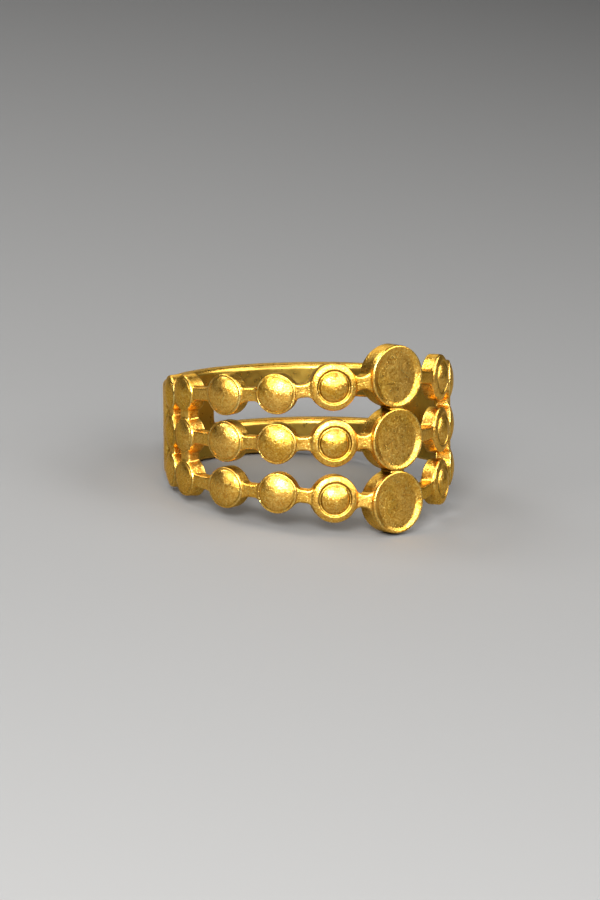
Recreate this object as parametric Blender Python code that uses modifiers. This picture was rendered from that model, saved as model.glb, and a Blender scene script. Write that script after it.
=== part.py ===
"""Triple band ring, cast in one piece.

Three rows of small discs, linked by bars, go round the front of the finger. They open
towards a column of three large recessed discs on the right of the front, and close again
into a plain slotted band at the back. Every dimension is taken about the ring's own axis,
which is vertical until the last step. That step lays the finished ring on its lower rim
as it comes to rest on a table, with the middle of its box over the origin.

An azimuth is measured round the axis from the front of the ring, -Y, towards +X.
"""

import collections
import math

import bmesh
import bpy
from mathutils import Vector
from mathutils.bvhtree import BVHTree

MM = 0.001

# The finger hole, and the plain band with its slot at the back.
INNER_DIAMETER = 17.0 * MM
BAND_THICKNESS = 1.1 * MM
BAND_HEIGHT = 6.1 * MM
BAND_EDGE = 0.2 * MM
SLOT_HEIGHT = 1.5 * MM
SLOT_END_RADIUS = 0.45 * MM
SLOT_SPAN_DEG = 94.0

# The distance between the middles of two rows where they are closest.
NARROW_PITCH = 2.5 * MM

# Domed discs: a shallow dome inside a thin rim. A depth is from the finger hole to the rim.
DOMED_DIAMETER = 2.62 * MM
DOMED_DEPTH = 1.0 * MM
DOMED_RIM = 0.12 * MM
DOMED_RISE = 0.35 * MM

# Ringed discs: a small dome in a groove, inside a rounded collar.
RINGED_DIAMETER = 3.06 * MM
RINGED_DEPTH = 1.02 * MM
RINGED_COLLAR_WIDTH = 0.42 * MM
RINGED_COLLAR_CROWN = 0.14 * MM
RINGED_COLLAR_FALL = 0.22 * MM
RINGED_GROOVE_WIDTH = 0.19 * MM
RINGED_GROOVE_DEPTH = 0.22 * MM
RINGED_DOME_RISE = 0.50 * MM

# Recessed discs: a flat floor inside a sloping wall and a flat rim.
RECESSED_DIAMETER = 4.04 * MM
RECESSED_DEPTH = 1.3 * MM
RECESSED_EDGE = 0.10 * MM
RECESSED_RIM = 0.05 * MM
RECESS_SLOPE = 0.35 * MM
RECESS_DEPTH = 0.18 * MM

# The rows are widest where the recessed discs stand, with this gap between two of them.
RECESSED_GAP = 0.06 * MM
WIDE_PITCH = RECESSED_DIAMETER + RECESSED_GAP

# Bars between neighbours in a row, and necks between the three discs of a joined column.
BAR_HEIGHT = 0.86 * MM
BAR_FILLET = 0.38 * MM
BAR_EDGE = 0.14 * MM
BAR_STEP = 0.11 * MM
NECK_WIDTH = 1.1 * MM
NECK_FILLET = 0.12 * MM

# How far a bar runs into a disc, how far the last discs reach over the edge of the band,
# and how far every mass reaches into the finger hole before that is cut.
OVERLAP = 0.15 * MM
BAND_LAP = 0.4 * MM
OVERCUT = 0.3 * MM

# Fineness of the round shapes.
SMALL_DISC_STEPS = 24
LARGE_DISC_STEPS = 36
BORE_STEPS = 96
BAND_STEPS = 40
BAR_STEPS = 5
DOME_STEPS = 3

# One row for each column of three discs, from the left shoulder to the right one. The size
# is a share of the diameter of discs of that kind. The spread is how far the rows have
# opened there, from 0 at the narrow pitch to 1 at the wide one. In a joined column each
# disc is also linked to the one above it.
Column = collections.namedtuple("Column", "kind size azimuth_deg spread joined")
COLUMNS = (
    Column("domed", 0.89, -74.0, 0.02, True),
    Column("domed", 0.90, -59.5, 0.18, True),
    Column("domed", 1.02, -35.0, 0.33, False),
    Column("domed", 1.00, -12.5, 0.45, False),
    Column("ringed", 1.00, 10.5, 0.71, False),
    Column("recessed", 1.00, 36.7, 1.00, True),
    Column("ringed", 0.98, 69.5, 0.60, False),
    Column("domed", 1.00, 90.0, 0.25, True),
)
ROWS = (-1, 0, 1)

GOLD = (0.80, 0.53, 0.17, 1.0)
GOLD_ROUGHNESS = 0.32

INNER_RADIUS = INNER_DIAMETER / 2
DIAMETERS = {
    "domed": DOMED_DIAMETER,
    "ringed": RINGED_DIAMETER,
    "recessed": RECESSED_DIAMETER,
}
DEPTHS = {
    "domed": DOMED_DEPTH,
    "ringed": RINGED_DEPTH,
    "recessed": RECESSED_DEPTH,
}


def rim_radius(kind):
    """Distance of a disc's rim from the ring's axis."""
    return INNER_RADIUS + DEPTHS[kind]


def disc_radius(column):
    return DIAMETERS[column.kind] * column.size / 2


def pitch(column):
    return NARROW_PITCH + column.spread * (WIDE_PITCH - NARROW_PITCH)


def foot_radius(half_width):
    """Where a mass of this half width ends inside the finger hole, below its curved wall."""
    return math.sqrt(INNER_RADIUS**2 - half_width**2) - OVERCUT


def cap(radius, rise, base):
    """Profile of a shallow dome, from its crown to its edge at the level of base."""
    opening = 2 * math.atan2(rise, radius)
    sphere = radius / math.sin(opening)
    angles = [opening * step / DOME_STEPS for step in range(DOME_STEPS + 1)]
    middle = base + rise - sphere
    return [(sphere * math.sin(a), middle + sphere * math.cos(a)) for a in angles]


def domed_profile(edge):
    rim = rim_radius("domed")
    return cap(edge - DOMED_RIM, DOMED_RISE, rim) + [(edge, rim - DOMED_RIM)]


def ringed_profile(edge):
    rim = rim_radius("ringed")
    floor = rim - RINGED_GROOVE_DEPTH
    collar = edge - RINGED_COLLAR_WIDTH
    return cap(collar - RINGED_GROOVE_WIDTH, RINGED_DOME_RISE, floor) + [
        (collar, floor),
        (collar + RINGED_COLLAR_CROWN / 2, rim),
        (collar + RINGED_COLLAR_CROWN, rim),
        (edge, rim - RINGED_COLLAR_FALL),
    ]


def recessed_profile(edge):
    rim = rim_radius("recessed")
    rim_outside = edge - RECESSED_EDGE
    rim_inside = rim_outside - RECESSED_RIM
    return [
        (0.0, rim - RECESS_DEPTH),
        (rim_inside - RECESS_SLOPE, rim - RECESS_DEPTH),
        (rim_inside, rim),
        (rim_outside, rim),
        (edge, rim - RECESSED_EDGE),
    ]


PROFILES = {
    "domed": domed_profile,
    "ringed": ringed_profile,
    "recessed": recessed_profile,
}


def disc_mesh(column):
    """Open profile of a disc, from its crown down its side to its foot in the finger hole."""
    edge = disc_radius(column)
    foot = foot_radius(edge)
    profile = PROFILES[column.kind](edge) + [(edge, foot), (0.0, foot)]
    mesh = bpy.data.meshes.new(column.kind + "_profile")
    points = [(across, 0.0, out) for across, out in profile]
    mesh.from_pydata(points, [(i, i + 1) for i in range(len(points) - 1)], [])
    return mesh


def add_screw(obj, steps):
    """Turns the profile in obj about its own Z axis."""
    screw = obj.modifiers.new("turned", "SCREW")
    screw.axis = "Z"
    screw.steps = steps
    screw.render_steps = steps
    screw.use_merge_vertices = True
    screw.merge_threshold = 1e-6
    screw.use_smooth_shade = True


def add_boolean(obj, operation, other):
    """Joins other to obj, or cuts it away. Other is an object or a collection."""
    boolean = obj.modifiers.new(operation.lower(), "BOOLEAN")
    boolean.operation = operation
    boolean.solver = "EXACT"
    if isinstance(other, bpy.types.Collection):
        boolean.operand_type = "COLLECTION"
        boolean.collection = other
    else:
        boolean.object = other


def add_helper(name, mesh, collection):
    """An object that is joined to the ring or cut from it, and isn't shown itself."""
    helper = bpy.data.objects.new(name, mesh)
    helper.hide_render = True
    helper.display_type = "WIRE"
    collection.objects.link(helper)
    return helper


def bent_block(name, steps, place):
    """Mesh of a block bent round the ring's axis.

    place(along, across, depth) gives the azimuth, height and radius of a point of the block.
    Along and across run from -1 to 1, and depth is 0 outside and -1 inside.
    """
    bm = bmesh.new()
    bmesh.ops.create_grid(bm, x_segments=steps, y_segments=3, size=1)
    extruded = bmesh.ops.extrude_face_region(bm, geom=bm.faces[:])["geom"]
    inside = [part for part in extruded if isinstance(part, bmesh.types.BMVert)]
    bmesh.ops.translate(bm, vec=(0, 0, -1), verts=inside)
    for vert in bm.verts:
        azimuth, height, radius = place(*vert.co)
        vert.co = (radius * math.sin(azimuth), -radius * math.cos(azimuth), height)
    bmesh.ops.recalc_face_normals(bm, faces=bm.faces)
    mesh = bpy.data.meshes.new(name)
    bm.to_mesh(mesh)
    bm.free()
    return mesh


def across_with_edges(across, depth, half_width, edge):
    """Offset across a block, and how much its outer edge is cut back there."""
    if abs(across) < 0.5:
        return math.copysign(half_width - edge, across), 0.0
    return math.copysign(half_width, across), edge if depth > -0.5 else 0.0


def filleted_end(half_height, fillet, disc_radius):
    """Where a fillet between a bar and a round disc leaves the disc, and where it ends.

    Both are (distance from the disc's middle, half height of the bar there).
    """
    reach = disc_radius + fillet
    rise = half_height + fillet
    run = math.sqrt(max(reach**2 - rise**2, 0.0))
    share = disc_radius / reach
    return (run * share, rise * share), (run, half_height)


def widened(distance, half_height, fillet, disc_radius):
    """Half height of a bar with filleted ends, at this distance from a disc's middle."""
    leaves, ends = filleted_end(half_height, fillet, disc_radius)
    if distance >= ends[0]:
        return half_height
    if distance <= leaves[0]:
        return leaves[1]
    rise = half_height + fillet
    return rise - math.sqrt(max(fillet**2 - (ends[0] - distance) ** 2, 0.0))


def link_mesh(name, first, second, half_height, fillet):
    """Bar from one disc to another. Each disc is given as (column, row)."""
    scale = rim_radius("domed")
    ends = []
    for column, row in (first, second):
        azimuth = math.radians(column.azimuth_deg)
        ends.append(Vector((azimuth * scale, row * pitch(column))))
    radii = [disc_radius(column) for column, _ in (first, second)]
    levels = [rim_radius(column.kind) - BAR_STEP for column, _ in (first, second)]
    way = ends[1] - ends[0]
    length = way.length
    way.normalize()
    side = Vector((-way.y, way.x))
    leaves = [filleted_end(half_height, fillet, radius)[0][0] for radius in radii]
    start = leaves[0] - OVERLAP
    stop = length - leaves[1] + OVERLAP
    foot = foot_radius(half_height + fillet)

    def place(along, across, depth):
        share = (along + 1) / 2
        distance = start + share * (stop - start)
        half_width = max(
            widened(distance, half_height, fillet, radii[0]),
            widened(length - distance, half_height, fillet, radii[1]),
        )
        offset, cut_back = across_with_edges(across, depth, half_width, BAR_EDGE)
        point = ends[0] + way * distance + side * offset
        outer = levels[0] + (levels[1] - levels[0]) * share
        return point.x / scale, point.y, foot if depth < -0.5 else outer - cut_back

    return bent_block(name, BAR_STEPS, place)


def band_edge(column, side):
    """Azimuth of the band's edge, under the discs of the last column on this side."""
    reach = (disc_radius(column) - BAND_LAP) / rim_radius("domed")
    return math.radians(column.azimuth_deg) + side * reach


def band_mesh():
    """Plain band at the back, from the last column of discs on one side to the other's."""
    first = band_edge(COLUMNS[-1], 1)
    last = band_edge(COLUMNS[0], -1) + 2 * math.pi
    outer = INNER_RADIUS + BAND_THICKNESS
    foot = INNER_RADIUS - OVERCUT

    def place(along, across, depth):
        azimuth = first + (along + 1) / 2 * (last - first)
        offset, cut_back = across_with_edges(across, depth, BAND_HEIGHT / 2, BAND_EDGE)
        return azimuth, offset, foot if depth < -0.5 else outer - cut_back

    return bent_block("band", BAND_STEPS, place)


def slot_mesh():
    """Cutter for the slot between the two plain bands, with rounded ends."""
    half_span = math.radians(SLOT_SPAN_DEG) / 2
    inner = INNER_RADIUS - 2 * OVERCUT
    outer = INNER_RADIUS + BAND_THICKNESS + OVERCUT
    radius = min(SLOT_END_RADIUS, SLOT_HEIGHT / 2)
    end = radius / (INNER_RADIUS * half_span)

    def place(along, across, depth):
        past = max(abs(along) - (1 - end), 0.0) / end
        half_height = SLOT_HEIGHT / 2 - radius * (1 - math.sqrt(max(1 - past**2, 0.0)))
        # The grid's corners at the very end stay apart, so that the end is a face.
        half_height = max(half_height, radius / 2)
        height = half_height * (math.copysign(1 / 3, across) if abs(across) < 0.5 else across)
        return math.pi + along * half_span, height, inner if depth < -0.5 else outer

    return bent_block("slot", BAND_STEPS, place)


def bore_mesh():
    """Cutter for the finger hole, longer than the ring is high."""
    bm = bmesh.new()
    bmesh.ops.create_cone(
        bm,
        cap_ends=True,
        segments=BORE_STEPS,
        radius1=INNER_RADIUS,
        radius2=INNER_RADIUS,
        depth=2 * (2 * WIDE_PITCH + RECESSED_DIAMETER),
    )
    mesh = bpy.data.meshes.new("finger_hole")
    bm.to_mesh(mesh)
    bm.free()
    return mesh


def add_discs(collection):
    for number, column in enumerate(COLUMNS, start=1):
        mesh = disc_mesh(column)
        for row in ROWS:
            disc = add_helper(f"{column.kind}_disc_{number}_{row + 2}", mesh, collection)
            disc.location.z = row * pitch(column)
            disc.rotation_euler = (math.pi / 2, 0, math.radians(column.azimuth_deg))
            large = column.kind == "recessed"
            add_screw(disc, LARGE_DISC_STEPS if large else SMALL_DISC_STEPS)


def add_bars(collection):
    for number, (column, following) in enumerate(zip(COLUMNS, COLUMNS[1:]), start=1):
        for row in ROWS:
            name = f"bar_{number}_{row + 2}"
            ends = ((column, row), (following, row))
            add_helper(name, link_mesh(name, *ends, BAR_HEIGHT / 2, BAR_FILLET), collection)


def add_necks(collection):
    for number, column in enumerate(COLUMNS, start=1):
        if not column.joined:
            continue
        for row in ROWS[:-1]:
            name = f"neck_{number}_{row + 2}"
            ends = ((column, row), (column, row + 1))
            add_helper(name, link_mesh(name, *ends, NECK_WIDTH / 2, NECK_FILLET), collection)


def gold_material():
    material = bpy.data.materials.new("satin_gold")
    material.use_nodes = True
    shader = material.node_tree.nodes["Principled BSDF"]
    shader.inputs["Base Color"].default_value = GOLD
    shader.inputs["Metallic"].default_value = 1.0
    shader.inputs["Roughness"].default_value = GOLD_ROUGHNESS
    return material


def evaluated_mesh(obj):
    bpy.context.view_layer.update()
    graph = bpy.context.evaluated_depsgraph_get()
    return bpy.data.meshes.new_from_object(obj.evaluated_get(graph))


def centre_of_mass(mesh):
    """Middle of the solid that a closed mesh bounds, from the pyramids on its triangles."""
    mesh.calc_loop_triangles()
    volume = 0.0
    moment = Vector()
    for triangle in mesh.loop_triangles:
        a, b, c = (mesh.vertices[index].co for index in triangle.vertices)
        part = a.dot(b.cross(c)) / 6
        volume += part
        moment += part * (a + b + c) / 4
    return moment / volume


def resting_down(mesh):
    """The direction in the ring's own axes that points down once it has come to rest.

    The ring starts with its axis upright and rolls over its hull, from the face under its
    middle to the next one, until it stands on the face that its middle lies over.
    """
    bm = bmesh.new()
    bm.from_mesh(mesh)
    hull = bmesh.ops.convex_hull(bm, input=bm.verts)
    inside = hull["geom_interior"] + hull["geom_unused"]
    bmesh.ops.delete(bm, geom=[g for g in inside if g.is_valid], context="VERTS")
    bmesh.ops.recalc_face_normals(bm, faces=bm.faces)
    tree = BVHTree.FromBMesh(bm)
    bm.free()
    middle = centre_of_mass(mesh)
    down = Vector((0, 0, -1))
    normal = tree.ray_cast(middle, down)[1]
    while normal.angle(down) > 1e-4:
        down = normal
        normal = tree.ray_cast(middle, down)[1]
    return normal


def lay_down(ring, pose):
    """Turns the pose empty so that the ring rests at Z 0 with the middle of its box over 0."""
    mesh = evaluated_mesh(ring)
    turn = resting_down(mesh).rotation_difference(Vector((0, 0, -1)))
    points = [turn @ vertex.co for vertex in mesh.vertices]
    low = Vector(min(point[axis] for point in points) for axis in range(3))
    high = Vector(max(point[axis] for point in points) for axis in range(3))
    pose.rotation_mode = "QUATERNION"
    pose.rotation_quaternion = turn
    pose.location = (-(low.x + high.x) / 2, -(low.y + high.y) / 2, -low.z)
    bpy.data.meshes.remove(mesh)


def main():
    for obj in list(bpy.data.objects):
        bpy.data.objects.remove(obj)
    scene = bpy.context.scene.collection
    part = bpy.data.collections.new("triple_band_ring_part")
    masses = bpy.data.collections.new("masses")
    cutters = bpy.data.collections.new("cutters")
    for collection in (part, masses, cutters):
        scene.children.link(collection)

    add_discs(masses)
    add_bars(masses)
    add_necks(masses)
    slot = add_helper("slot", slot_mesh(), cutters)
    bore = add_helper("finger_hole", bore_mesh(), cutters)

    ring = bpy.data.objects.new("triple_band_ring", band_mesh())
    part.objects.link(ring)
    ring.data.materials.append(gold_material())
    add_boolean(ring, "DIFFERENCE", slot)
    add_boolean(ring, "UNION", masses)
    add_boolean(ring, "DIFFERENCE", bore)

    pose = bpy.data.objects.new("resting_pose", None)
    part.objects.link(pose)
    for obj in [ring, *masses.objects, *cutters.objects]:
        obj.parent = pose
    lay_down(ring, pose)


main()
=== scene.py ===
"""Scene for the triple band ring.

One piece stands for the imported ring. Its shape is worked out as a field of distances to the
surface, in the ring's own axes, so that every edge is rounded and every joint filleted as on
the cast ring. The field is turned into a mesh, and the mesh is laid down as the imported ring
lies. An azimuth is measured round the ring's axis from its front, -Y, towards +X.
"""

import collections
import math

import bpy
import numpy as np
from mathutils import Matrix, Quaternion, Vector


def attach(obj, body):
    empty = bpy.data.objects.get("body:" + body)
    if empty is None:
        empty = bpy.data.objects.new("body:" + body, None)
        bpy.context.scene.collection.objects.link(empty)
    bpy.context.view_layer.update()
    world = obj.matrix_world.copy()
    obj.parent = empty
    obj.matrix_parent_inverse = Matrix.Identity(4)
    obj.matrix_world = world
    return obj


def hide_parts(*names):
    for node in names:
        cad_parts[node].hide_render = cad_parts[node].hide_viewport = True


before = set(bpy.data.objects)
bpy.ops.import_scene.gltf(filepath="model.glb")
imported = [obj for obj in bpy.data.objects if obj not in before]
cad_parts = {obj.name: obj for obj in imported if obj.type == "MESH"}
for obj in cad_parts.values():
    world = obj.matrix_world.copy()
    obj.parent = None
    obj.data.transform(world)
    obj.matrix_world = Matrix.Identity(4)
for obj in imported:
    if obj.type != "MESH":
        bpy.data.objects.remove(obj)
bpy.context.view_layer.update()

MM = 0.001

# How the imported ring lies: its turn, and the middle of its finger hole. Millimetres.
RING_TURN = Quaternion((0.9963896, -0.0663110, -0.0530152, 0.0))
RING_CENTRE = Vector((-0.1311, 0.0752, 4.5951))

# The height that the lights are aimed at.
RING_MIDDLE = 5

# Sizes of the ring in millimetres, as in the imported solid.
BORE = 8.5
RIM = 9.5
BAND_OUTSIDE = 9.6
BAND_HALF_HEIGHT = 3.05
BAND_ROUNDING = 0.30
BORE_ROUNDING = 0.12
BAND_BORE_ROUNDING = 0.38
SLOT_HALF_HEIGHT = 0.75
SLOT_HALF_SPAN = math.radians(47.0)
SLOT_CORNER = 0.45
SLOT_ROUNDING = 0.2
BAND_CORNER = 0.3
BAND_LAP = 0.4
BAR_HALF_HEIGHT = 0.43
BAR_FILLET = 0.38
BAR_STEP = 0.11
BAR_ROUNDING = 0.13
NECK_HALF_WIDTH = 0.55
NECK_FILLET = 0.12
NARROW_PITCH = 2.5
WIDE_PITCH = 4.1
RADII = {"domed": 1.31, "ringed": 1.53, "recessed": 2.02}
RIMS = {"domed": 9.5, "ringed": 9.52, "recessed": 9.8}

# Domed discs: how far their face lies below the rim, how far below it a shoulder disc's side
# starts to lean, the margin round the dome, and the thickness and inset of the fine groove.
FACE_DROP = 0.02
FLARE_DROP = 0.3
DOME_MARGIN = 0.15
DOME_GROOVE = 0.05
DOME_GROOVE_INSET = 0.13

# The rounding of a domed disc's edge and the rise of its dome, on the front and the shoulders.
FRONT_DOMED = (0.11, 0.36)
SHOULDER_DOMED = (0.05, 0.24)

# How much the sides of the domed discs on the shoulders lean, and their bars' fillet.
SHOULDER_FLARE = 0.12
SHOULDER_FILLET = 0.25

# Ringed discs: the collar, its slopes outside and in its groove, its roundings from the inside
# out, and the dome in the middle.
COLLAR_WIDTH = 0.42
COLLAR_CROWN = 0.14
COLLAR_DROP = 0.04
FALL = math.radians(32.0)
LEAN = math.radians(14.0)
COLLAR_ROUNDINGS = (0.05, 0.12, 0.07)
GROOVE_DEPTH = 0.22
PLATE_INSET = 0.02
BUTTON_INSET = 0.60
BUTTON_RISE = 0.32
BUTTON_LIFT = 0.17

# Recessed discs: where the sloping wall starts, its width and depth, the roundings at its foot,
# at the disc's edge and at the rim, and the fine groove where the floor starts.
RECESS_INSET = 0.13
RECESS_RUN = 0.37
RECESS_DEPTH = 0.18
RECESS_FOOT_ROUNDING = 0.02
RECESSED_EDGE_ROUNDING = 0.10
RECESSED_RIM_ROUNDING = 0.04
FLOOR_GROOVE = 0.035
FLOOR_GROOVE_INSET = 0.39
FLOOR_GROOVE_DROP = 0.175

# The fillet where pieces of the field meet, and how far past a bar or disc each piece reaches.
JOIN_FILLET = 0.05
BAR_MARGIN = 0.3
DISC_MARGIN = 0.5

# The columns of three discs from the left shoulder to the right one: the kind of disc, its
# share of that kind's radius, the azimuth in degrees, how far the rows have opened there, and
# whether each disc is joined to the one above.
Column = collections.namedtuple("Column", "kind size azimuth spread joined")
COLUMNS = (
    Column("domed", 0.89, -74.0, 0.02, True),
    Column("domed", 0.90, -59.5, 0.18, True),
    Column("domed", 1.02, -35.0, 0.33, False),
    Column("domed", 1.00, -12.5, 0.45, False),
    Column("ringed", 1.00, 10.5, 0.71, False),
    Column("recessed", 1.00, 36.7, 1.00, True),
    Column("ringed", 0.98, 69.5, 0.60, False),
    Column("domed", 1.00, 90.0, 0.25, True),
)
ROWS = (-1, 0, 1)

# Soft lights: name, azimuth, elevation, distance, width, height and radiance.
LIGHTS = (
    ("far_left", -108.0, 50.0, 220.0, 110.0, 90.0, 11.0),
    ("left", -46.0, 34.0, 220.0, 80.0, 90.0, 9.0),
    ("middle", -10.0, 34.0, 220.0, 80.0, 90.0, 42.0),
    ("right", 24.0, 26.0, 220.0, 80.0, 120.0, 9.0),
    ("far_right", 62.0, 34.0, 220.0, 100.0, 90.0, 11.0),
    ("side", 98.0, 48.0, 220.0, 110.0, 100.0, 8.0),
    ("top", 0.0, 80.0, 260.0, 140.0, 140.0, 2.5),
    ("back", -165.0, 30.0, 260.0, 150.0, 150.0, 1.2),
)

# Slight unevenness of the metal: height and number of the waves, and their lengths.
RIPPLES = ((0.0010, 40, 1.1, 2.6), (0.0002, 40, 0.25, 0.6))

# The grid that the field is worked out on: spacing, and the reach in height and radius. The
# band's own part of it ends at a lower height.
STEP = 0.055
HIGHEST = 6.25
BAND_HIGHEST = 4.0
INNERMOST = 8.3
OUTERMOST = 10.05
MOST_TRIANGLES = 195000

# Depths at which the metal's hollows and edges are felt for, and the skin of the finger hole.
HOLLOW_REACHES = (0.12, 0.25, 0.45)
EDGE_REACHES = (0.08, 0.16)
BORE_SKIN = 0.1
BORE_SKIN_BLEND = 0.08

# Colours of the metal: its two tones, the shade between grains, scratches, painted highlights in
# small dots, the painted shade in the finger hole and the hollows, and the edges lightened by
# wear and a painted highlight.
DARK_GOLD = (0.66, 0.355, 0.04)
LIGHT_GOLD = (0.79, 0.445, 0.085)
GRAIN_SHADE = (0.76, 0.62, 0.42)
SCRATCH = (0.8, 0.55, 0.12)
PAINTED_GLINT = (1.0, 0.72, 0.2)
BORE_SHADE = (0.36, 0.23, 0.04)
HOLLOW_SHADE = (0.28, 0.28, 0.20)
WORN_GOLD_AND_SHEEN = (1.0, 0.78, 0.28)
BLACK = (0.0, 0.0, 0.0)
WHITE = (1.0, 1.0, 1.0)

# The photograph's view: the picture's size, where the middle of the ring is in it and how far
# away the camera is, in pixels, a pixel's millimetres at the ring, and the camera's height
# above the ring's own level and its roll in degrees.
PICTURE = (600, 900)
MIDDLE = (307.8, 424.2)
CAMERA_AWAY = 4000
PIXEL = 0.0665
CAMERA_RISE = math.radians(7.8)
CAMERA_ROLL = math.radians(-0.6)


def round_max(a, b, radius):
    """Where both solids are, with the edge between them rounded."""
    inner = np.hypot(np.maximum(a + radius, 0), np.maximum(b + radius, 0))
    return np.minimum(np.maximum(a, b), -radius) + inner


def round_min(a, b, radius):
    """Where either solid is, with a fillet where they meet."""
    return -round_max(-a, -b, radius)


def cap(u, w, radius, rise, base):
    """Shallow dome over a disc's middle, from its crown down to the level of base."""
    opening = 2 * math.atan2(rise, radius)
    sphere = radius / math.sin(opening)
    return np.maximum(np.hypot(u, w - (base + rise - sphere)) - sphere, u - radius)


# Each kind of disc at a distance u from its middle line and a height w above the ring's axis.
# The edge is its radius there, and flare how much a domed one's side leans.


def domed_disc(u, w, edge, flare):
    rim = RIMS["domed"]
    face = rim - FACE_DROP
    rounding, rise = SHOULDER_DOMED if flare else FRONT_DOMED
    side = (u - edge + (w - rim + FLARE_DROP) * flare) / math.hypot(1, flare)
    plate = round_max(side, w - face, rounding)
    dome = cap(u, w, edge - DOME_MARGIN, rise, face)
    groove = DOME_GROOVE - np.hypot(u - (edge - DOME_GROOVE_INSET), w - face)
    return np.maximum(np.minimum(plate, dome), groove)


def ringed_disc(u, w, edge, flare):
    rim = RIMS["ringed"]
    floor = rim - GROOVE_DEPTH
    collar = edge - COLLAR_WIDTH
    fall = (u - collar - COLLAR_CROWN) * math.sin(FALL) + (w - rim) * math.cos(FALL)
    inside = (collar - u) * math.cos(LEAN) + (w - rim + COLLAR_DROP) * math.sin(LEAN)
    wall = round_max(inside, w - rim, COLLAR_ROUNDINGS[0])
    wall = round_max(wall, fall, COLLAR_ROUNDINGS[1])
    wall = round_max(wall, u - edge, COLLAR_ROUNDINGS[2])
    plate = np.maximum(u - edge + PLATE_INSET, w - floor)
    dome = cap(u, w, edge - BUTTON_INSET, BUTTON_RISE, floor + BUTTON_LIFT)
    return np.minimum(np.minimum(plate, wall), dome)


def recessed_disc(u, w, edge, flare):
    rim = RIMS["recessed"]
    inside = edge - RECESS_INSET
    lean = RECESS_RUN / RECESS_DEPTH
    slope = (u - inside - (w - rim) * lean) / math.hypot(1, lean)
    recess = round_max(rim - RECESS_DEPTH - w, slope, RECESS_FOOT_ROUNDING)
    body = round_max(u - edge, w - rim, RECESSED_EDGE_ROUNDING)
    away = np.hypot(u - (inside - FLOOR_GROOVE_INSET), w - (rim - FLOOR_GROOVE_DROP))
    return np.maximum(round_max(body, -recess, RECESSED_RIM_ROUNDING), FLOOR_GROOVE - away)


DISCS = {"domed": domed_disc, "ringed": ringed_disc, "recessed": recessed_disc}


def pitch(column):
    return NARROW_PITCH + column.spread * (WIDE_PITCH - NARROW_PITCH)


def disc_radius(column):
    return RADII[column.kind] * column.size


class Field:
    """Distances on a grid over azimuth, height and radius. Negative is inside the metal."""

    def __init__(self):
        self.turns = round(2 * math.pi * (INNERMOST + OUTERMOST) / 2 / STEP)
        self.azimuth = -math.pi + np.arange(self.turns) * 2 * math.pi / self.turns
        self.height = np.arange(-HIGHEST, HIGHEST + STEP, STEP)
        self.radius = np.arange(INNERMOST, OUTERMOST + STEP, STEP)
        shape = (self.turns, self.height.size, self.radius.size)
        self.values = np.full(shape, 1.0, np.float32)

    def part(self, azimuth, reach, low, high):
        """Index of the block round an azimuth and between two heights, and its coordinates."""
        angle = (self.azimuth - azimuth + math.pi) % (2 * math.pi) - math.pi
        near = np.flatnonzero(np.abs(angle) < reach / INNERMOST)
        level = np.flatnonzero((self.height > low) & (self.height < high))
        index = np.ix_(near, level, np.arange(self.radius.size))
        grids = np.ix_(angle[near], self.height[level], self.radius)
        return index, grids

    def join(self, index, values):
        self.values[index] = round_min(self.values[index], values, JOIN_FILLET)

    def distance(self, azimuth, height, radius):
        """The field at these places, from the eight grid points round each."""
        within = np.clip(radius, self.radius[0], self.radius[-1])
        places = (
            (azimuth + math.pi) / (2 * math.pi) * self.turns,
            (height + HIGHEST) / STEP,
            (within - INNERMOST) / STEP,
        )
        low = [np.floor(place).astype(np.int64) for place in places]
        shares = [place - start for place, start in zip(places, low)]
        total = np.zeros(len(azimuth))
        for corner in range(8):
            steps = [corner & 1, corner >> 1 & 1, corner >> 2]
            weight = np.ones(len(azimuth))
            for step, share in zip(steps, shares):
                weight *= share if step else 1 - share
            a = (low[0] + steps[0]) % self.turns
            b = np.clip(low[1] + steps[1], 0, self.height.size - 1)
            c = np.clip(low[2] + steps[2], 0, self.radius.size - 1)
            total += weight * self.values[a, b, c]
        return total + np.abs(radius - within)

    def beside(self, points, ways, reach):
        """The field at this reach from each point along its way."""
        there = points + ways * reach
        azimuth = np.arctan2(there[:, 0], -there[:, 1])
        return self.distance(azimuth, there[:, 2], np.hypot(there[:, 0], there[:, 1]))

    def nearest(self, points):
        """Distance of each point from the surface, and the direction straight out of it."""
        azimuth = np.arctan2(points[:, 0], -points[:, 1])
        height = points[:, 2]
        radius = np.hypot(points[:, 0], points[:, 1])
        turn = STEP / radius
        across = self.distance(azimuth + turn, height, radius)
        across -= self.distance(azimuth - turn, height, radius)
        up = self.distance(azimuth, height + STEP, radius)
        up -= self.distance(azimuth, height - STEP, radius)
        out = self.distance(azimuth, height, radius + STEP)
        out -= self.distance(azimuth, height, radius - STEP)
        sine, cosine = np.sin(azimuth), np.cos(azimuth)
        ways = [across * cosine + out * sine, across * sine - out * cosine, up]
        ways = np.stack(ways, axis=1)
        ways /= np.linalg.norm(ways, axis=1)[:, None] + 1e-9
        return self.distance(azimuth, height, radius), ways


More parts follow.
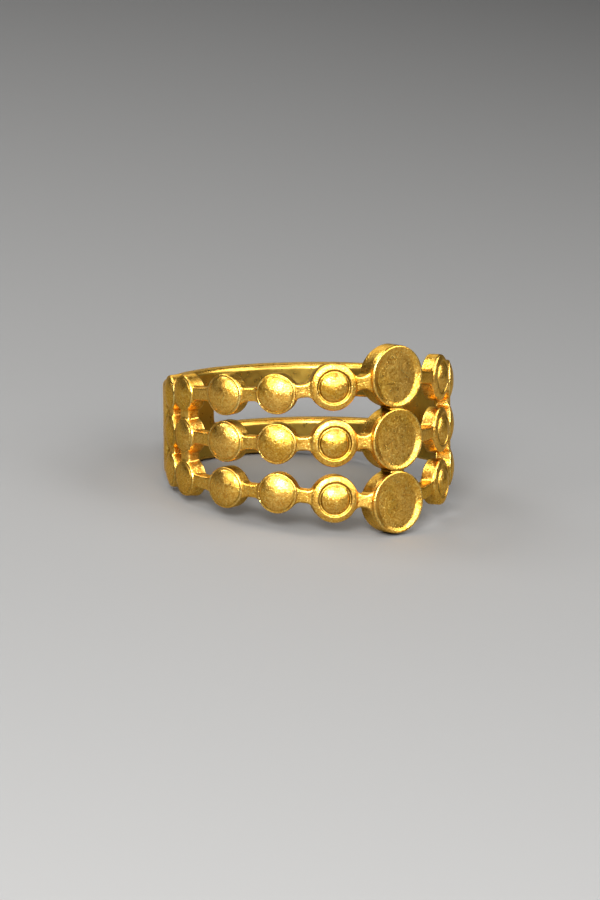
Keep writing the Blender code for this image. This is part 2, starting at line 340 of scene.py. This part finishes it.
def add_band(field):
    """The plain band at the back with its slot, between the outermost columns of discs."""
    first = math.radians(COLUMNS[-1].azimuth) + (disc_radius(COLUMNS[-1]) - BAND_LAP) / RIM
    last = math.radians(COLUMNS[0].azimuth + 360) - (disc_radius(COLUMNS[0]) - BAND_LAP) / RIM
    whole = math.pi * OUTERMOST
    index, (angle, z, r) = field.part(math.pi, whole, -BAND_HIGHEST, BAND_HIGHEST)
    turned = angle + math.pi
    edge = np.maximum(first - turned, turned - last) * RIM
    side = round_max(edge, np.abs(z) - BAND_HALF_HEIGHT, BAND_CORNER)
    band = round_max(side, r - BAND_OUTSIDE, BAND_ROUNDING)
    along = np.abs(angle) * RIM - (SLOT_HALF_SPAN * RIM - SLOT_CORNER)
    across = np.abs(z) - (SLOT_HALF_HEIGHT - SLOT_CORNER)
    outside = np.hypot(np.maximum(along, 0), np.maximum(across, 0))
    slot = outside + np.minimum(np.maximum(along, across), 0) - SLOT_CORNER
    field.values[index] = round_max(band, -slot, SLOT_ROUNDING)


def add_link(field, first, second, half_width, fillet):
    """A bar between two discs, given as (column, row), filleted along both round outlines."""
    ends = []
    for column, row in (first, second):
        ends.append(Vector((math.radians(column.azimuth) * RIM, row * pitch(column))))
    radii = [disc_radius(column) for column, _ in (first, second)]
    levels = [RIMS[column.kind] - BAR_STEP for column, _ in (first, second)]
    way = ends[1] - ends[0]
    length = way.length
    way.normalize()
    middle = (ends[0] + ends[1]) / 2
    margin = max(radii) + BAR_MARGIN
    reach = abs(ends[1].x - ends[0].x) / 2 + margin
    low = min(end.y for end in ends) - margin
    high = max(end.y for end in ends) + margin
    index, (angle, z, r) = field.part(middle.x / RIM, reach, low, high)
    s = angle * RIM + middle.x - ends[0].x
    t = z - ends[0].y
    along = s * way.x + t * way.y
    across = np.abs(s * way.y - t * way.x)
    share = np.clip((along - radii[0]) / (length - sum(radii)), 0, 1)
    bar = np.maximum(across - half_width, np.maximum(-along, along - length))
    one = np.hypot(along, across) - radii[0]
    two = np.hypot(along - length, across) - radii[1]
    fillets = [
        min(fillet, SHOULDER_FILLET) if column.joined and column.kind == "domed" else fillet
        for column, _ in (first, second)
    ]
    outline = round_min(round_min(bar, one, fillets[0]), two, fillets[1])
    level = levels[0] + (levels[1] - levels[0]) * share
    field.join(index, round_max(outline, r - level, BAR_ROUNDING))


def add_disc(field, column, row):
    edge = disc_radius(column)
    middle = row * pitch(column)
    azimuth = math.radians(column.azimuth)
    reach = edge + DISC_MARGIN
    index, (angle, z, r) = field.part(azimuth, reach, middle - reach, middle + reach)
    u = np.hypot(r * np.sin(angle), z - middle)
    w = r * np.cos(angle) + 0 * z
    flare = SHOULDER_FLARE if column.joined else 0.0
    field.join(index, DISCS[column.kind](u, w, edge, flare))


def cut_bore(field):
    """Cuts the finger hole, with a wider rounding inside the plain band than at the discs."""
    azimuth = np.degrees(field.azimuth)[:, None, None]
    start = COLUMNS[-1].azimuth
    stop = COLUMNS[0].azimuth
    past = np.clip(np.maximum(azimuth - start, stop - azimuth) / 8, 0, 1)
    rounding = BORE_ROUNDING + (BAND_BORE_ROUNDING - BORE_ROUNDING) * past
    bore = BORE - field.radius[None, None, :]
    for at in range(0, field.turns, 128):
        part = slice(at, at + 128)
        field.values[part] = round_max(field.values[part], bore, rounding[part])


def ring_field():
    field = Field()
    add_band(field)
    for column, following in zip(COLUMNS, COLUMNS[1:]):
        for row in ROWS:
            add_link(field, (column, row), (following, row), BAR_HALF_HEIGHT, BAR_FILLET)
    for column in COLUMNS:
        for row in ROWS[:-1] if column.joined else ():
            add_link(field, (column, row), (column, row + 1), NECK_HALF_WIDTH, NECK_FILLET)
        for row in ROWS:
            add_disc(field, column, row)
    cut_bore(field)
    return field


def surface(field):
    """Points and four-sided faces of the surface where the field is zero.

    Each grid cell that the surface passes through gets one point, the mean of where the
    surface crosses the cell's edges. Each grid edge that it crosses gets one face.
    """
    values = np.concatenate([field.values, field.values[:1]])
    inside = values < 0
    cells = tuple(size - 1 for size in values.shape)
    total = np.zeros(cells + (3,), np.float32)
    count = np.zeros(cells, np.float32)
    crossed = []
    for axis in range(3):
        low = tuple(slice(None, -1) if a == axis else slice(None) for a in range(3))
        high = tuple(slice(1, None) if a == axis else slice(None) for a in range(3))
        changes = np.argwhere(inside[low] != inside[high])
        a = values[low][tuple(changes.T)]
        b = values[high][tuple(changes.T)]
        crossing = changes.astype(np.float32)
        crossing[:, axis] += a / (a - b)
        crossed.append((axis, changes, a < 0))
        others = [other for other in range(3) if other != axis]
        for step_one in (0, 1):
            for step_two in (0, 1):
                cell = changes.copy()
                cell[:, others[0]] -= step_one
                cell[:, others[1]] -= step_two
                good = np.all((cell >= 0) & (cell < cells), axis=1)
                at = tuple(cell[good].T)
                np.add.at(count, at, 1)
                for k in range(3):
                    np.add.at(total[..., k], at, crossing[good, k])
    used = np.argwhere(count > 0)
    number = np.full(cells, -1, np.int64)
    number[tuple(used.T)] = np.arange(len(used))
    at = tuple(used.T)
    places = total[at] / count[at][:, None]
    faces = []
    for axis, changes, forward in crossed:
        one, two = [(axis + 1) % 3, (axis + 2) % 3]
        corners = []
        for step_one, step_two in ((0, 0), (1, 0), (1, 1), (0, 1)):
            cell = changes.copy()
            cell[:, one] -= step_one
            cell[:, two] -= step_two
            cell[:, 0] %= cells[0]
            corners.append(cell)
        good = np.all([np.all((c >= 0) & (c < cells), axis=1) for c in corners], axis=0)
        face = np.stack([number[tuple(c[good].T)] for c in corners], axis=1)
        turned = ~forward[good]
        face[turned] = face[turned][:, ::-1]
        faces.append(face)
    azimuth = -math.pi + places[:, 0] * 2 * math.pi / field.turns
    radius = INNERMOST + places[:, 2] * STEP
    points = np.stack(
        [
            radius * np.sin(azimuth),
            -radius * np.cos(azimuth),
            -HIGHEST + places[:, 1] * STEP,
        ],
        axis=1,
    )
    return points, np.concatenate(faces)


def mesh_of(name, points, faces):
    mesh = bpy.data.meshes.new(name)
    mesh.vertices.add(len(points))
    mesh.vertices.foreach_set("co", points.astype(np.float32).ravel())
    mesh.loops.add(faces.size)
    mesh.loops.foreach_set("vertex_index", faces.astype(np.int32).ravel())
    mesh.polygons.add(len(faces))
    mesh.polygons.foreach_set("loop_start", np.arange(0, faces.size, 4, dtype=np.int32))
    mesh.update(calc_edges=True)
    mesh.validate()
    return mesh


def ripples(points):
    """Height of the metal's slight unevenness at these points, and its slope there."""
    rng = np.random.default_rng(7)
    height = np.zeros(len(points))
    slope = np.zeros((len(points), 3))
    for amplitude, count, shortest, longest in RIPPLES:
        for _ in range(count):
            way = rng.normal(size=3)
            way *= 2 * math.pi / np.linalg.norm(way) / rng.uniform(shortest, longest)
            phase = points @ way + rng.uniform(0, 2 * math.pi)
            height += amplitude * np.sin(phase)
            slope += amplitude * np.cos(phase)[:, None] * way
    return height, slope


def hollows_and_edges(field, points, ways):
    """Two shares at each point: how far walls close it in, and how sharply it stands out."""
    hollow = np.zeros(len(points))
    for reach in HOLLOW_REACHES:
        walled = np.clip(1 - field.beside(points, ways, reach) / reach, 0, 1)
        hollow += walled / len(HOLLOW_REACHES)
    edge = np.zeros(len(points))
    for reach in EDGE_REACHES:
        thin = np.clip(1 + field.beside(points, ways, -reach) / reach, 0, 1)
        edge += thin / len(EDGE_REACHES)
    return hollow, edge


def gold_ring():
    """The ring as one mesh in the row frame, in metres."""
    field = ring_field()
    points, faces = surface(field)
    distance, ways = field.nearest(points)
    points = points + ways * (ripples(points)[0] - distance)[:, None]
    mesh = mesh_of("gold_ring", points, faces)
    ring = bpy.data.objects.new("gold_ring", mesh)
    bpy.context.scene.collection.objects.link(ring)
    thin = ring.modifiers.new("thin", "DECIMATE")
    thin.ratio = MOST_TRIANGLES / (2 * len(faces))
    bpy.context.view_layer.update()
    graph = bpy.context.evaluated_depsgraph_get()
    light = bpy.data.meshes.new_from_object(ring.evaluated_get(graph))
    ring.modifiers.clear()
    ring.data = light
    bpy.data.meshes.remove(mesh)
    light.name = "gold_ring"
    light.polygons.foreach_set("use_smooth", np.ones(len(light.polygons), bool))
    points = np.empty(len(light.vertices) * 3, np.float32)
    light.vertices.foreach_get("co", points)
    points = points.reshape(-1, 3).astype(float)
    ways = field.nearest(points)[1]
    hollow, edge = hollows_and_edges(field, points, ways)
    depth = BORE + BORE_SKIN - np.hypot(points[:, 0], points[:, 1])
    inside = np.clip(depth / BORE_SKIN_BLEND, 0, 1)
    for name, shares in (("hollow", hollow), ("edge", edge), ("inside", inside)):
        made = light.attributes.new(name, "FLOAT", "POINT")
        made.data.foreach_set("value", shares.astype(np.float32))
    normals = ways - ripples(points)[1]
    turn = RING_TURN.to_matrix()
    place = Matrix.Translation(RING_CENTRE * MM) @ turn.to_4x4()
    light.transform(place @ Matrix.Scale(MM, 4))
    light.normals_split_custom_set_from_vertices(normals @ np.array(turn).T)
    return ring


def node(tree, kind, **inputs):
    made = tree.nodes.new(kind)
    for name, value in inputs.items():
        made.inputs[name.replace("_", " ")].default_value = value
    return made


def ramp(tree, source, stops):
    """Colour ramp on the source, from (position, grey or colour) pairs."""
    made = tree.nodes.new("ShaderNodeValToRGB")
    elements = made.color_ramp.elements
    while len(elements) < len(stops):
        elements.new(0.5)
    for element, (position, colour) in zip(elements, stops):
        element.position = position
        grey = isinstance(colour, float)
        element.color = (colour, colour, colour, 1) if grey else (*colour, 1)
    tree.links.new(source, made.inputs["Fac"])
    return made.outputs["Color"]


def gold_material():
    """Satin gold: grain, fine scratches and small uneven patches; painted highlights in dots and,
    with wear, on edges; painted shade in the finger hole and hollows.

    A pattern's scale is in waves to the metre.
    """
    material = bpy.data.materials.new("satin_gold")
    material.use_nodes = True
    tree = material.node_tree
    shader = tree.nodes["Principled BSDF"]
    shader.inputs["Metallic"].default_value = 1.0
    shader.inputs["Specular Tint"].default_value = (1.0, 0.84, 0.5, 1)
    place = tree.nodes.new("ShaderNodeTexCoord").outputs["Object"]

    def noise(scale, detail=3.0, distortion=0.0):
        made = node(tree, "ShaderNodeTexNoise", Scale=scale, Detail=detail, Distortion=distortion)
        tree.links.new(place, made.inputs["Vector"])
        return made.outputs["Fac"]

    def scratches(turn, length, width):
        """Short fine lines in one direction, as bright streaks in a stretched noise."""
        lie = node(tree, "ShaderNodeMapping", Rotation=turn, Scale=(length, width, width))
        tree.links.new(place, lie.inputs["Vector"])
        made = node(tree, "ShaderNodeTexNoise", Scale=1.0, Detail=2.0)
        tree.links.new(lie.outputs["Vector"], made.inputs["Vector"])
        return ramp(tree, made.outputs["Fac"], [(0.60, BLACK), (0.70, SCRATCH)])

    def blend(kind, factor, one, two):
        made = tree.nodes.new("ShaderNodeMix")
        made.data_type = "RGBA"
        made.blend_type = kind
        made.inputs["Factor"].default_value = factor
        tree.links.new(one, made.inputs["A"])
        tree.links.new(two, made.inputs["B"])
        return made.outputs["Result"]

    def share(name):
        made = tree.nodes.new("ShaderNodeAttribute")
        made.attribute_name = name
        return made.outputs["Fac"]

    patches = noise(420.0, 4.0)
    grain = noise(7600.0, 2.0)
    speck = noise(2400.0, 5.0)
    lines = scratches((0.3, 0.5, 0.9), 900.0, 14000.0)
    for turn in ((0.2, -0.6, 2.1), (1.1, 0.3, -0.5)):
        lines = blend("LIGHTEN", 1.0, lines, scratches(turn, 1100.0, 13000.0))
    tone = ramp(tree, patches, [(0.35, DARK_GOLD), (0.65, LIGHT_GOLD)])
    shade = ramp(tree, grain, [(0.38, GRAIN_SHADE), (0.56, WHITE)])
    tone = blend("MULTIPLY", 1.0, tone, shade)
    # Painted highlight: sparse golden dots lighten the colour, standing in for light caught by
    # tiny facets.
    dots = noise(9000.0, 1.0)
    painted_glints = ramp(tree, dots, [(0.57, BLACK), (0.66, PAINTED_GLINT)])
    tone = blend("SCREEN", 0.4, tone, blend("LIGHTEN", 1.0, lines, painted_glints))
    # Painted shade: the finger hole's colour is mixed towards a darker gold, for the shade inside
    # the band.
    bore_shade = tree.nodes.new("ShaderNodeMix")
    bore_shade.data_type = "RGBA"
    bore_shade.inputs["B"].default_value = (*BORE_SHADE, 1)
    tree.links.new(share("inside"), bore_shade.inputs["Factor"])
    tree.links.new(tone, bore_shade.inputs["A"])
    tone = bore_shade.outputs["Result"]
    # Painted shade: darker, greyer colour where walls close the metal in, in creases and between
    # joined discs.
    dark = ramp(tree, share("hollow"), [(0.06, WHITE), (0.55, HOLLOW_SHADE)])
    tone = blend("MULTIPLY", 1.0, tone, dark)
    # Edges that stand out are lighter: partly wear, partly a painted highlight for light catching
    # the rounded edges.
    wear_and_sheen = ramp(tree, share("edge"), [(0.12, BLACK), (0.50, WORN_GOLD_AND_SHEEN)])
    tone = blend("SCREEN", 0.55, tone, wear_and_sheen)
    tree.links.new(tone, shader.inputs["Base Color"])
    rough = ramp(tree, speck, [(0.35, 0.27), (0.65, 0.34)])
    smooth = ramp(tree, share("edge"), [(0.15, 1.0), (0.55, 0.6)])
    tree.links.new(blend("MULTIPLY", 1.0, rough, smooth), shader.inputs["Roughness"])
    outside = ramp(tree, share("inside"), [(0.0, 0.6), (1.0, 0.1)])
    bump = node(tree, "ShaderNodeBump", Distance=0.00002)
    tree.links.new(grain, bump.inputs["Height"])
    tree.links.new(outside, bump.inputs["Strength"])
    facets = node(tree, "ShaderNodeBump", Distance=0.000009)
    tree.links.new(ramp(tree, dots, [(0.52, 0.0), (0.72, 1.0)]), facets.inputs["Height"])
    tree.links.new(outside, facets.inputs["Strength"])
    tree.links.new(bump.outputs["Normal"], facets.inputs["Normal"])
    tree.links.new(facets.outputs["Normal"], shader.inputs["Normal"])
    return material


def add_floor():
    size = 0.6
    mesh = bpy.data.meshes.new("floor")
    corners = [(x * size, y * size, 0) for x, y in ((-1, -1), (1, -1), (1, 1), (-1, 1))]
    mesh.from_pydata(corners, [], [(0, 1, 2, 3)])
    floor = bpy.data.objects.new("floor", mesh)
    bpy.context.scene.collection.objects.link(floor)
    material = bpy.data.materials.new("pale_floor")
    material.use_nodes = True
    shader = material.node_tree.nodes["Principled BSDF"]
    shader.inputs["Base Color"].default_value = (0.13, 0.129, 0.126, 1)
    shader.inputs["Roughness"].default_value = 0.8
    mesh.materials.append(material)


def add_light(name, azimuth, elevation, away, width, height, radiance):
    """Oblong soft light in that direction from the ring, in degrees and millimetres."""
    data = bpy.data.lights.new(name, "AREA")
    data.shape = "RECTANGLE"
    data.size = width * MM
    data.size_y = height * MM
    data.energy = radiance * math.pi * width * height * MM**2
    light = bpy.data.objects.new(name, data)
    bpy.context.scene.collection.objects.link(light)
    turn, rise = math.radians(azimuth), math.radians(elevation)
    flat = math.cos(rise)
    way = Vector((math.sin(turn) * flat, -math.cos(turn) * flat, math.sin(rise)))
    light.location = (way * away + Vector((0, 0, RING_MIDDLE))) * MM
    light.rotation_euler = way.to_track_quat("Z", "Y").to_euler()


def add_world():
    world = bpy.data.worlds.new("studio")
    world.use_nodes = True
    shade = world.node_tree.nodes["Background"]
    shade.inputs["Color"].default_value = (1, 1, 1, 1)
    shade.inputs["Strength"].default_value = 0.08
    bpy.context.scene.world = world
    bpy.context.scene.view_settings.view_transform = "Standard"


def add_camera():
    """The photograph's view: a camera in line with the ring's own axes, then laid down."""
    back = Vector((0, -math.cos(CAMERA_RISE), math.sin(CAMERA_RISE)))
    right = Vector((1, 0, 0))
    up = back.cross(right)
    turn = Matrix((right, up, back)).transposed() @ Matrix.Rotation(CAMERA_ROLL, 3, "Z")
    data = bpy.data.cameras.new("camera")
    data.sensor_width = 36
    data.lens = data.sensor_width * CAMERA_AWAY / PICTURE[1]
    data.clip_start = 0.01
    data.shift_x = -(MIDDLE[0] - PICTURE[0] / 2) / PICTURE[1]
    data.shift_y = (MIDDLE[1] - PICTURE[1] / 2) / PICTURE[1]
    camera = bpy.data.objects.new("camera", data)
    bpy.context.scene.collection.objects.link(camera)
    own = Matrix.Translation(back * CAMERA_AWAY * PIXEL * MM) @ turn.to_4x4()
    laid = Matrix.Translation(RING_CENTRE * MM) @ RING_TURN.to_matrix().to_4x4()
    camera.matrix_world = laid @ own
    bpy.context.scene.camera = camera


ring = gold_ring()
ring.data.materials.clear()
ring.data.materials.append(gold_material())
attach(ring, "root")
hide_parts("triple_band_ring")

add_floor()
add_world()
for light in LIGHTS:
    add_light(*light)
add_camera()
